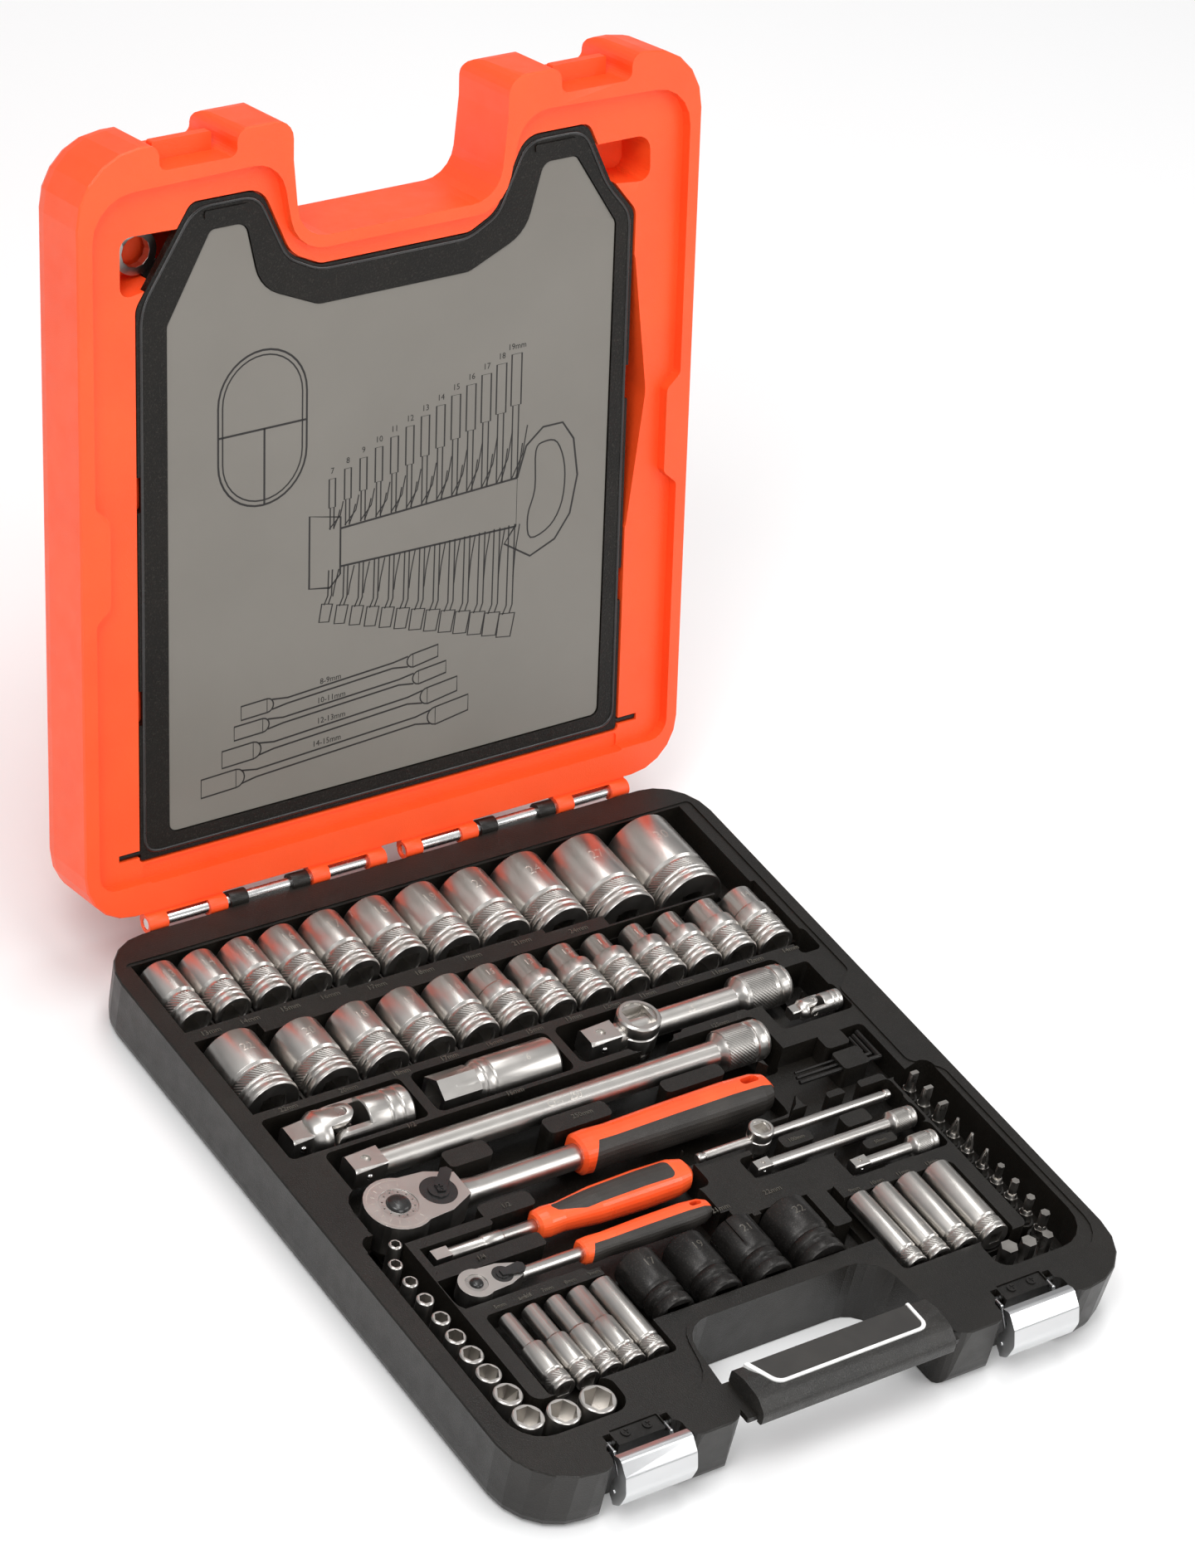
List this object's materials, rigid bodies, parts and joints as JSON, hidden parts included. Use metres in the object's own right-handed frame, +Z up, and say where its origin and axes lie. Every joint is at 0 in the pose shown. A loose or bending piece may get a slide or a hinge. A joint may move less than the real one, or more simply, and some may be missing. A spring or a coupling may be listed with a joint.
{
  "type": "socket wrench set in case",
  "caption": "Hinged blow-moulded tool case, orange lid standing open on a black tray of chrome sockets, ratchets, extensions, bits and joints; spanner door in the lid, two draw latches, handle.",
  "frame": {"origin": "centre of the underside of the base half, midway between its front and back walls within 3 mm", "axes": "+Z up out of the tray, +X to the right along the hinge, +Y from the handle towards the hinge"},
  "size_m": [0.356, 0.5502, 0.4153],
  "materials": {
    "tray_plastic": "grained black blow-moulded plastic",
    "handle_plastic": "coarse grained black plastic",
    "badge_plastic": "smooth black plastic",
    "trim_silver": "silver-grey trim",
    "lid_plastic": "orange blow-moulded plastic",
    "door_plastic": "grained black plastic",
    "label_sheet": "grey printed label",
    "steel_pin": "ground steel",
    "black_steel": "blackened steel",
    "latch_metal": "satin zinc plate",
    "satin_chrome": "satin chrome",
    "orange_grip": "orange hard plastic",
    "black_grip": "black elastomer",
    "black_plastic": "black plastic",
    "black_rubber": "rubber",
    "impact_black": "phosphated black steel",
    "bit_steel": "dark tool steel"
  },
  "bodies": {
    "case": {"base_case": "tray_plastic", "handle_grip": "handle_plastic", "handle_badge": "badge_plastic", "handle_badge_trim": "trim_silver", "hinge_pin_left": "steel_pin", "hinge_pin_right": "steel_pin", "latch_plates": "black_steel", "latch_screws": "black_steel", "half_sockets_back_row": "satin_chrome", "half_sockets_front_row": "satin_chrome", "impact_sockets": "impact_black", "deep_sockets_left": "satin_chrome", "deep_sockets_right": "satin_chrome", "quarter_sockets_upright": "satin_chrome", "screwdriver_bits": "bit_steel", "hex_keys": "black_steel"},
    "lid": {"lid_case": "lid_plastic", "combination_spanners": "satin_chrome"},
    "door": {"spanner_door": "door_plastic", "door_label": "label_sheet"},
    "latch_link_left": {"latch_link_left": "latch_metal"},
    "latch_lever_left": {"latch_lever_left": "latch_metal"},
    "latch_link_right": {"latch_link_right": "latch_metal"},
    "latch_lever_right": {"latch_lever_right": "latch_metal"},
    "half_ratchet": {"half_ratchet_body": "satin_chrome", "half_ratchet_grip_orange": "orange_grip", "half_ratchet_grip_black": "black_grip"},
    "half_ratchet_selector": {"half_ratchet_selector": "black_plastic"},
    "half_ratchet_drive": {"half_ratchet_drive": "satin_chrome"},
    "half_ratchet_button": {"half_ratchet_button": "black_plastic"},
    "quarter_ratchet": {"quarter_ratchet_body": "satin_chrome", "quarter_ratchet_grip_orange": "orange_grip", "quarter_ratchet_grip_black": "black_grip"},
    "quarter_ratchet_selector": {"quarter_ratchet_selector": "black_plastic"},
    "quarter_ratchet_drive": {"quarter_ratchet_drive": "satin_chrome"},
    "quarter_ratchet_button": {"quarter_ratchet_button": "black_plastic"},
    "spinner": {"spinner_shaft": "satin_chrome", "spinner_grip_orange": "orange_grip", "spinner_grip_black": "black_grip"},
    "half_extension_short": {"half_extension_short": "satin_chrome"},
    "half_sliding_tee": {"half_sliding_tee": "satin_chrome"},
    "half_extension_long": {"half_extension_long": "satin_chrome"},
    "half_joint": {"half_joint_socket_yoke": "satin_chrome"},
    "half_joint_cross": {"half_joint_cross": "satin_chrome"},
    "half_joint_drive": {"half_joint_drive_yoke": "satin_chrome"},
    "quarter_joint": {"quarter_joint_socket_yoke": "satin_chrome"},
    "quarter_joint_cross": {"quarter_joint_cross": "satin_chrome"},
    "quarter_joint_drive": {"quarter_joint_drive_yoke": "satin_chrome"},
    "spark_plug_socket": {"spark_plug_socket": "satin_chrome", "spark_plug_insert": "black_rubber"},
    "quarter_tee_bar": {"quarter_tee_bar": "satin_chrome"},
    "quarter_tee_head": {"quarter_tee_head": "satin_chrome"},
    "quarter_extension_100": {"quarter_extension_100": "satin_chrome"},
    "quarter_extension_50": {"quarter_extension_50": "satin_chrome"}
  },
  "joints": [
    {"name": "lid_hinge", "type": "hinge", "parent": "case", "child": "lid", "pos_m": [0, 0.197, 0.036], "axis": [-1, 0, 0], "range_deg": [-106, 0]},
    {"name": "door_hinge", "type": "hinge", "parent": "lid", "child": "door", "pos_m": [0, 0.21491, 0.06727], "axis": [1, 0, 0], "range_deg": [0, 70]},
    {"name": "latch_link_left_swing", "type": "hinge", "parent": "case", "child": "latch_link_left", "pos_m": [-0.113, -0.1826, 0.032], "axis": [-1, 0, 0], "range_deg": [0, 75]},
    {"name": "latch_lever_left_swing", "type": "hinge", "parent": "latch_link_left", "child": "latch_lever_left", "pos_m": [-0.113, -0.1982, 0.019], "axis": [1, 0, 0], "range_deg": [0, 75]},
    {"name": "latch_link_right_swing", "type": "hinge", "parent": "case", "child": "latch_link_right", "pos_m": [0.113, -0.1826, 0.032], "axis": [-1, 0, 0], "range_deg": [0, 75]},
    {"name": "latch_lever_right_swing", "type": "hinge", "parent": "latch_link_right", "child": "latch_lever_right", "pos_m": [0.113, -0.1982, 0.019], "axis": [1, 0, 0], "range_deg": [0, 75]},
    {"name": "half_ratchet_lift", "type": "slide", "parent": "case", "child": "half_ratchet", "axis": [0, 0, 1], "range_m": [0, 0.045]},
    {"name": "half_ratchet_selector_turn", "type": "hinge", "parent": "half_ratchet", "child": "half_ratchet_selector", "pos_m": [-0.1141, -0.0192, 0.035], "axis": [0, 0, 1], "range_deg": [-12, 20]},
    {"name": "half_ratchet_drive_spin", "type": "hinge", "parent": "half_ratchet", "child": "half_ratchet_drive", "pos_m": [-0.1365, -0.0192, 0.02], "axis": [0, 0, 1], "continuous": true},
    {"name": "half_ratchet_button_press", "type": "slide", "parent": "half_ratchet_drive", "child": "half_ratchet_button", "axis": [0, 0, -1], "range_m": [0, 0.0015], "stiffness_N_per_m": 400, "springref_m": -0.0006},
    {"name": "quarter_ratchet_lift", "type": "slide", "parent": "case", "child": "quarter_ratchet", "axis": [0, 0, 1], "range_m": [0, 0.045]},
    {"name": "quarter_ratchet_selector_turn", "type": "hinge", "parent": "quarter_ratchet", "child": "quarter_ratchet_selector", "pos_m": [-0.1166, -0.0773, 0.035], "axis": [0, 0, 1], "range_deg": [-12, 20]},
    {"name": "quarter_ratchet_drive_spin", "type": "hinge", "parent": "quarter_ratchet", "child": "quarter_ratchet_drive", "pos_m": [-0.131, -0.0773, 0.028], "axis": [0, 0, 1], "continuous": true},
    {"name": "quarter_ratchet_button_press", "type": "slide", "parent": "quarter_ratchet_drive", "child": "quarter_ratchet_button", "axis": [0, 0, -1], "range_m": [0, 0.001], "stiffness_N_per_m": 250, "springref_m": -0.0006},
    {"name": "spinner_lift", "type": "slide", "parent": "case", "child": "spinner", "axis": [0, 0, 1], "range_m": [0, 0.045]},
    {"name": "half_extension_short_lift", "type": "slide", "parent": "case", "child": "half_extension_short", "axis": [0, 0, 1], "range_m": [0, 0.045]},
    {"name": "half_tee_slide", "type": "slide", "parent": "half_extension_short", "child": "half_sliding_tee", "axis": [1, 0, 0], "range_m": [-0.002, 0.04]},
    {"name": "half_extension_long_lift", "type": "slide", "parent": "case", "child": "half_extension_long", "axis": [0, 0, 1], "range_m": [0, 0.045]},
    {"name": "half_joint_lift", "type": "slide", "parent": "case", "child": "half_joint", "axis": [0, 0, 1], "range_m": [0, 0.045]},
    {"name": "half_joint_bend", "type": "hinge", "parent": "half_joint", "child": "half_joint_cross", "pos_m": [-0.1305, 0.0422, 0.03], "axis": [0, 1, 0], "range_deg": [0, 40]},
    {"name": "half_joint_swing", "type": "hinge", "parent": "half_joint_cross", "child": "half_joint_drive", "pos_m": [-0.1305, 0.0422, 0.03], "axis": [0, 0, 1], "range_deg": [-6, 6]},
    {"name": "quarter_joint_lift", "type": "slide", "parent": "case", "child": "quarter_joint", "axis": [0, 0, 1], "range_m": [0, 0.045]},
    {"name": "quarter_joint_bend", "type": "hinge", "parent": "quarter_joint", "child": "quarter_joint_cross", "pos_m": [0.137, 0.0204, 0.033], "axis": [0, 1, 0], "range_deg": [0, 40]},
    {"name": "quarter_joint_swing", "type": "hinge", "parent": "quarter_joint_cross", "child": "quarter_joint_drive", "pos_m": [0.137, 0.0204, 0.033], "axis": [0, 0, 1], "range_deg": [-6, 6]},
    {"name": "spark_plug_socket_lift", "type": "slide", "parent": "case", "child": "spark_plug_socket", "axis": [0, 0, 1], "range_m": [0, 0.045]},
    {"name": "quarter_tee_lift", "type": "slide", "parent": "case", "child": "quarter_tee_bar", "axis": [0, 0, 1], "range_m": [0, 0.045]},
    {"name": "quarter_tee_slide", "type": "slide", "parent": "quarter_tee_bar", "child": "quarter_tee_head", "axis": [1, 0, 0], "range_m": [-0.018, 0]},
    {"name": "quarter_extension_100_lift", "type": "slide", "parent": "case", "child": "quarter_extension_100", "axis": [0, 0, 1], "range_m": [0, 0.045]},
    {"name": "quarter_extension_50_lift", "type": "slide", "parent": "case", "child": "quarter_extension_50", "axis": [0, 0, 1], "range_m": [0, 0.045]}
  ]
}
